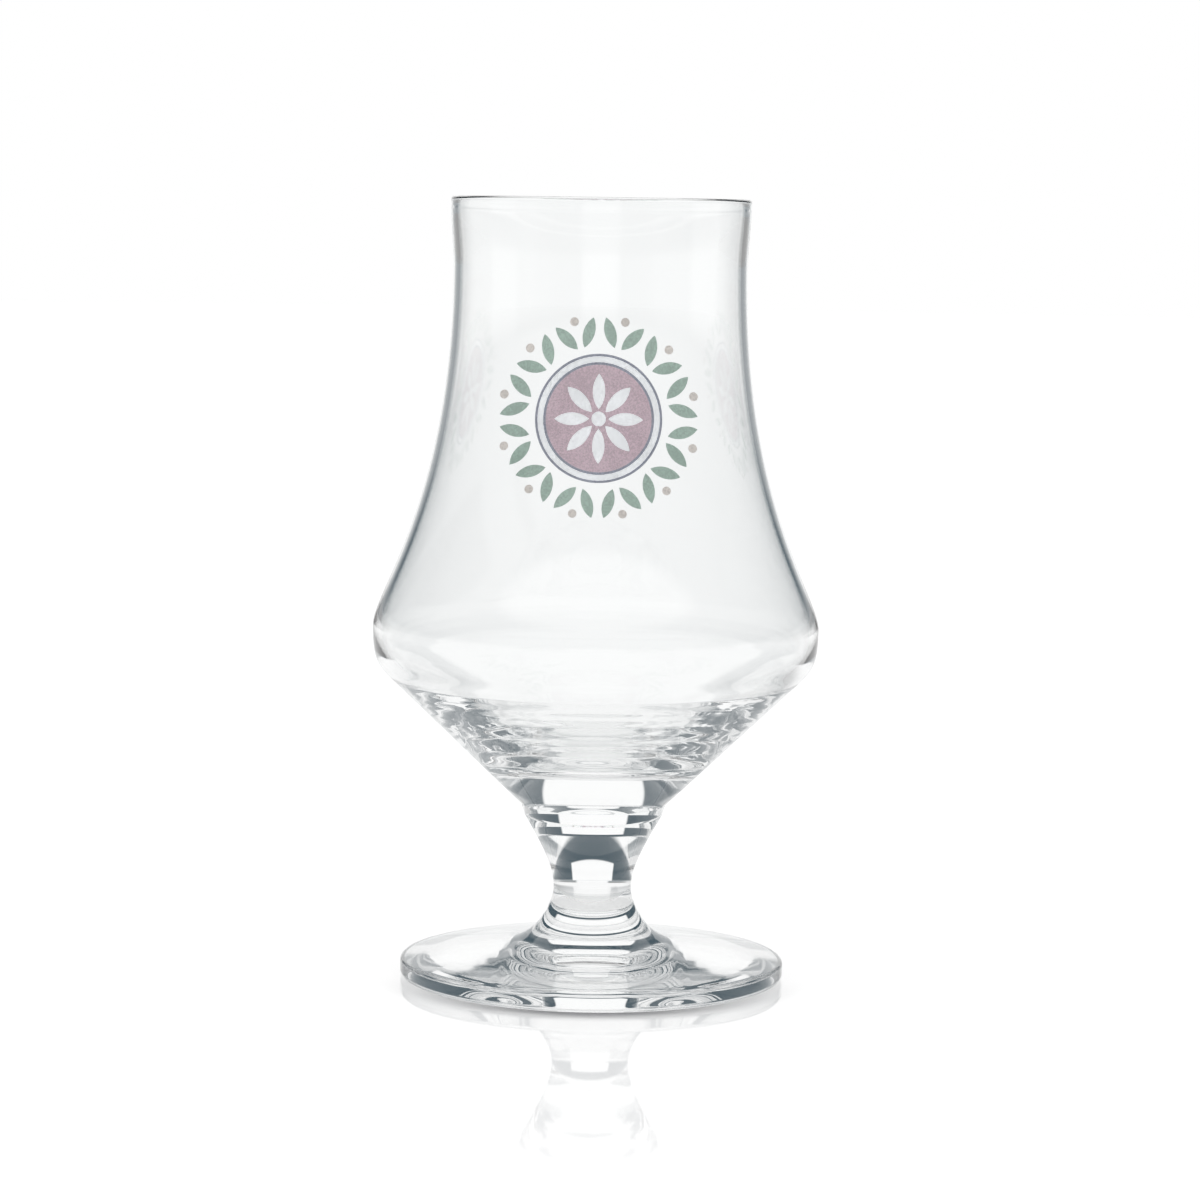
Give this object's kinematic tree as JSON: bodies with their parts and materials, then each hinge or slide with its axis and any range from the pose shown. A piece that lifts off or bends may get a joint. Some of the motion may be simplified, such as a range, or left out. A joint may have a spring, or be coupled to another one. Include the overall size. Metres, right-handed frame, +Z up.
{
  "type": "tulip beer glass",
  "caption": "Stemmed tulip beer glass: wide belly under a tall waisted chimney, short solid stem, round pressed foot and a rosette printed on the front.",
  "frame": {"origin": "centre of the foot's underside, on the surface that the glass stands on", "axes": "+Z up along the glass's axis of revolution; the print faces -Y"},
  "size_m": [0.0868, 0.0868, 0.152],
  "materials": {
    "clear_glass": "fire-polished clear soda-lime glass",
    "ink_red": "fired ceramic ink, satin",
    "ink_silver": "fired ceramic ink, satin",
    "ink_green": "fired ceramic ink, satin",
    "ink_tan": "fired ceramic ink, satin",
    "ink_dark": "fired ceramic ink, satin"
  },
  "bodies": {
    "root": {"bowl": "clear_glass", "stem": "clear_glass", "foot": "clear_glass", "print_red": "ink_red", "print_silver": "ink_silver", "print_green": "ink_green", "print_tan": "ink_tan", "print_outline": "ink_dark"}
  },
  "joints": []
}
